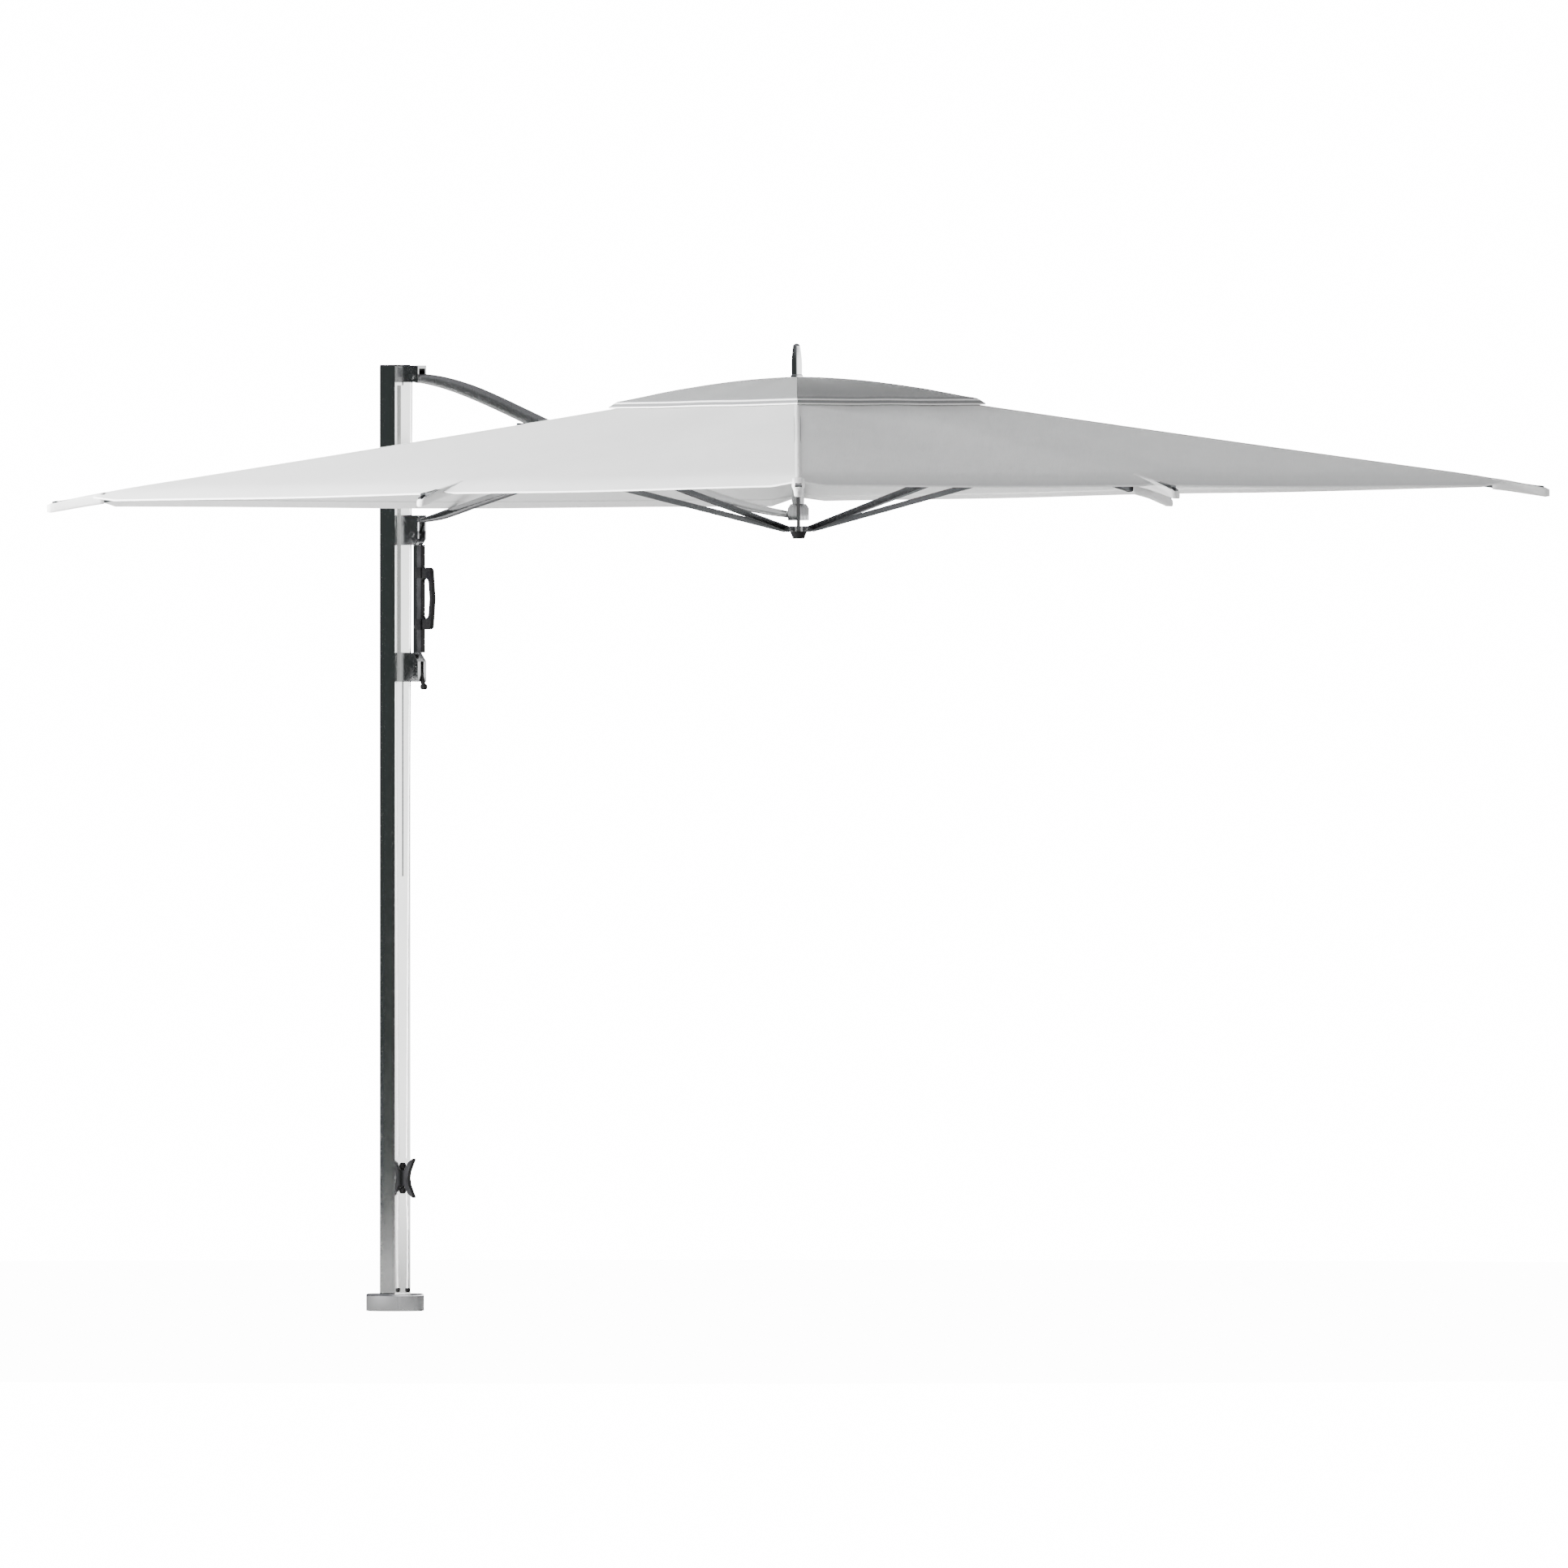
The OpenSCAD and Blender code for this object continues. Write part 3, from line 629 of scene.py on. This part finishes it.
def half_wing(name, half, angles, prefix, roof, start, rows, keep, node):
    """Half a wing of a cloth roof, from its rib to its border, with its folded hem."""
    body = "rib_" + name
    material = "vent_fabric" if prefix == "vent" else "canopy_fabric"
    border = angles[0] if half == "low" else angles[-1]
    side = roof[0]

    def place(angle, share, lift=0.0):
        return cloth_point(angle, share, *roof, lift)

    shares = [start + (1 - start) * (i / (rows - 1)) for i in range(rows)]
    points = [place(a, s) for s in shares for a in angles]
    faces = slotted(points, grid_faces(rows, len(angles)))
    cloth = make_piece(f"{prefix}_{name}_{half}", points, faces, material, body)
    thicken(cloth, CLOTH_T)
    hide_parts(node)
    # the hem: the cloth's edge folded twice, proud on both faces
    band = (VENT_HEM_WIDTH if prefix == "vent" else HEM_WIDTH) / side
    ring = (
        (1 - band, 0.0012),
        (1 + 0.0006 / side, 0.0010),
        (1 + 0.0006 / side, -CLOTH_T - 0.0014),
        (1 - band, -CLOTH_T - 0.0012),
    )
    rim = [place(a, s, lift) for s, lift in ring for a in angles]
    columns = len(angles)
    rings = grid_faces(4, columns)
    rings += [(3 * columns + c, 3 * columns + c + 1, c + 1, c) for c in range(columns - 1)]
    rings.append(tuple(r * columns for r in range(4)))
    rings.append(tuple(r * columns + columns - 1 for r in (3, 2, 1, 0)))
    hem_piece = make_piece(
        f"{prefix}_hem_{name}_{half}", rim, rings, "hem_fabric", body, False
    )
    fold_with(cloth, name, place, border)
    fold_with(hem_piece, name, place, border)


def roof_wing(name, *details):
    """Both halves of a wing. The details are half_wing's, from the prefix on."""
    for half, angles in half_wings(name):
        half_wing(name, half, angles, *details)


def hip_seam(name):
    """The lapped seam along a corner rib."""
    angle = RIBS[name]
    half, rows = 0.009, 46
    first, last = 0.14, 0.993
    across = [-1, -0.75, 0, 0.75, 1]
    points = []
    for i in range(rows):
        share = first + (last - first) * i / (rows - 1)
        middle = cloth_point(angle, share, CLOTH_SIDE, APEX_Z, HEM_Z, 0.0)
        radius = max((middle - HEAD @ Vector((0, 0, APEX_Z))).length, 0.1)
        for u in across:
            turn = math.degrees(u * half / radius)
            lift = 0.0011 if abs(u) < 1 else 0.0001
            points.append(cloth_point(angle + turn, share, CLOTH_SIDE, APEX_Z, HEM_Z, 0.008, lift))
    faces = grid_faces(rows, len(across))
    seam = make_piece("seam_" + name, points, faces, "hem_fabric", "rib_" + name)
    thicken(seam, 0.0009)


def rib_sleeve(name):
    """The cloth pocket that takes the rib's end, past the hem."""
    angle = math.radians(RIBS[name])
    corner = RIBS[name] % 90 != 0
    tip = CORNER_TIP if corner else MID_TIP
    reach = CLOTH_CORNER if corner else CLOTH_SIDE
    slope = (APEX_Z - HEM_Z) / reach
    start = reach - (0.045 if corner else 0.085)
    rows, sides = 14, 20
    out = Vector((math.cos(angle), math.sin(angle), 0))
    side = Vector((-math.sin(angle), math.cos(angle), 0))
    points = []
    for i in range(rows):
        t = i / (rows - 1)
        r = start + (tip + 0.002 - start) * t
        past = max(0.0, r - reach)
        centre_z = APEX_Z - slope * r - 0.0165 - (0.03 if corner else 0.12) * past
        wide = 0.0125 + 0.006 * (1 - t) ** 2
        tall = 0.0165 - 0.003 * t
        if i == rows - 1:
            wide, tall = wide * 0.72, tall * 0.72
        for k in range(sides):
            a = 2 * math.pi * k / sides
            c, s = math.cos(a), math.sin(a)
            u = math.copysign(abs(c) ** 0.5, c) * wide
            v = math.copysign(abs(s) ** 0.5, s) * tall
            p = out * r + side * u
            points.append(HEAD @ Vector((p.x, p.y, centre_z + v)))
    faces = [(a, d, c, b) for a, b, c, d in tube_faces(rows, sides)]  # facing the other way
    faces.append(tuple((rows - 1) * sides + k for k in range(sides)))
    sleeve = make_piece(
        "sleeve_" + name, points, faces, "hem_fabric", "rib_" + name
    )
    solid = sleeve.modifiers.new("solid", "SOLIDIFY")
    solid.thickness = 0.0012
    apply_modifiers(sleeve)


MAIN_ROOF = (CLOTH_SIDE, APEX_Z, HEM_Z, 0.006)
VENT_ROOF = (VENT_SIDE, VENT_TOP_Z, VENT_HEM_Z, 0.002)
for rib_name in RIBS:
    roof_wing(rib_name, "cloth", MAIN_ROOF, INNER_SIDE / CLOTH_SIDE, 44, 0.07, "panel_" + rib_name)
    roof_wing(rib_name, "vent", VENT_ROOF, 0.03, 22, 0.1, "vent_cap")
    if RIBS[rib_name] % 90:
        hip_seam(rib_name)
    rib_sleeve(rib_name)


# ---------------------------------------------------------------- boom and lower arm
def loft(name, line, halves, wides, material, body, node, power=0.72):
    """A tapered bar of rounded section along a line in the mast's plane."""
    sides = 28
    points = []
    for i, p in enumerate(line):
        q0, q1 = line[max(i - 1, 0)], line[min(i + 1, len(line) - 1)]
        along = (q1 - q0).normalized()
        up = Vector((-along.z, 0, along.x))
        for k in range(sides):
            a = 2 * math.pi * k / sides
            c, s = math.cos(a), math.sin(a)
            u = math.copysign(abs(c) ** power, c) * wides[i]
            v = math.copysign(abs(s) ** power, s) * halves[i]
            points.append(p + Vector((0, u, 0)) + up * v)
    n = len(line)
    faces = tube_faces(n, sides)
    faces += [tuple(range(sides)), tuple((n - 1) * sides + k for k in reversed(range(sides)))]
    piece = make_piece(name, points, faces, material, body)
    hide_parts(node)


def cubic(a, b, slope_a, slope_b, steps):
    """Points from a to b, each (x, z), that leave and arrive at the given slopes."""
    third = (b[0] - a[0]) / 3
    p, q = (a[0] + third, a[1] + slope_a * third), (b[0] - third, b[1] - slope_b * third)
    points = []
    for i in range(steps + 1):
        t = i / steps
        w = ((1 - t) ** 3, 3 * (1 - t) ** 2 * t, 3 * (1 - t) * t * t, t**3)
        x, z = (sum(k * c[n] for k, c in zip(w, (a, p, q, b))) for n in (0, 1))
        points.append(Vector((x, 0, z)))
    return points


BOOM_PIVOT = pivot("boom_tilt")
ARM_JOINT = pivot("arm_joint")
ARM_ROOT = pivot("carriage_pivot")
BRACKET_FRONT = 0.110
ROOT_HALF_WIDTH = 0.0108  # of boom and arm, where they run between cheeks
BOOM_HALF_WIDTH = 0.0135
TINE_Y, TINE_HALF_WIDTH, TINE_HALF_HEIGHT = 0.0165, 0.0025, 0.0125


def make_boom():
    """The boom's visible bar. Its root in the bracket and its holes stay with the CAD's root."""
    knee, end = (0.560, 2.541), (HUB.x - 0.030, 2.272)
    knee_slope = -0.335
    line = cubic((BOOM_PIVOT.x, BOOM_PIVOT.z - 0.004), knee, -0.05, knee_slope, 22)
    line += cubic(knee, end, knee_slope, -0.1, 30)[1:]
    root = Vector((BRACKET_FRONT - 0.02, 0, 2.6598))
    line = [root] + [p for p in line if p.x > BRACKET_FRONT - 0.01]
    halves, wides = [], []
    for p in line:
        if p.x < 0.4:
            half = 0.013 + 0.007 * math.sin(math.pi / 2 * max(p.x - 0.085, 0) / 0.315)
        elif p.x < 0.9:
            half = 0.020
        else:
            half = 0.009 + 0.011 * math.cos(math.pi / 2 * min((p.x - 0.9) / (end[0] - 0.9), 1))
        halves.append(half)
        wides.append(ROOT_HALF_WIDTH if p.x < BRACKET_FRONT + 0.004 else BOOM_HALF_WIDTH)
    loft("boom_bar", line, halves, wides, "boom_metal", "boom", "boom")


def make_arm():
    """The lower arm: a bent bar with a fork that straddles the boom."""
    start, middle = (BRACKET_FRONT + 0.004, 2.256), (0.360, 2.311)
    middle_slope = 0.235
    line = cubic(start, middle, 0.12, middle_slope, 14)
    line += cubic(middle, (ARM_JOINT.x, ARM_JOINT.z), middle_slope, 0.27, 20)[1:]
    root = [
        Vector((ARM_ROOT.x - 0.001, 0, ARM_ROOT.z - 0.004)),
        Vector((0.091, 0, 2.236)),
        Vector((0.102, 0, 2.249)),
    ]
    bar = root + [p for p in line if p.x < ARM_JOINT.x - 0.098]
    halves = [0.008, 0.0085, 0.008] + [
        0.007 + 0.0055 * min((p.x - start[0]) / 0.086, 1) for p in bar[3:]
    ]
    loft(
        "arm_bar", bar, halves, [ROOT_HALF_WIDTH] * len(bar),
        "dark_polished", "lower_arm", "lower_arm",
    )
    tines = [p for p in line if p.x > ARM_JOINT.x - 0.125]
    last = (tines[-1] - tines[-2]).normalized()
    tines.append(tines[-1] + last * 0.006)
    tines.append(tines[-2] + last * 0.012)
    for sign, side in ((-1, "front"), (1, "rear")):
        shifted = [p + Vector((0, sign * TINE_Y, 0)) for p in tines]
        tall = [TINE_HALF_HEIGHT] * (len(tines) - 2) + [0.0105, 0.003]
        loft(
            "arm_tine_" + side, shifted, tall, [TINE_HALF_WIDTH] * len(tines),
            "dark_polished", "lower_arm", "lower_arm", 0.5,
        )


make_boom()
make_arm()


# ---------------------------------------------------------------- the rope's free tail
TAIL_ROUTE = [
    (0.049, 0, 0.340), (0.049, 0, 0.320), (0.050, 0, 0.300), (0.051, 0, 0.280), (0.052, 0, 0.260),
    (0.053, 0, 0.240), (0.053, 0, 0.220), (0.053, 0, 0.200), (0.053, 0, 0.180), (0.053, 0, 0.160),
    (0.053, 0, 0.140), (0.052, 0, 0.120), (0.052, 0, 0.100), (0.051, 0, 0.080), (0.051, 0, 0.066),
]
ROPE_D = 0.006


def make_rope_tail():
    curve = bpy.data.curves.new("rope_tail_soft", "CURVE")
    curve.dimensions = "3D"
    spline = curve.splines.new("POLY")
    spline.points.add(len(TAIL_ROUTE) - 1)
    for point, place in zip(spline.points, TAIL_ROUTE):
        point.co = (*place, 1)
    curve.bevel_depth = ROPE_D / 2
    curve.bevel_resolution = 4
    curve.use_fill_caps = True
    tail = bpy.data.objects.new("rope_tail_soft", curve)
    bpy.context.scene.collection.objects.link(tail)
    curve.materials.append(MATERIALS["rope"])
    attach(tail, "mast")
    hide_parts("rope_tail")


make_rope_tail()
make_lights()
make_world()
make_floor()
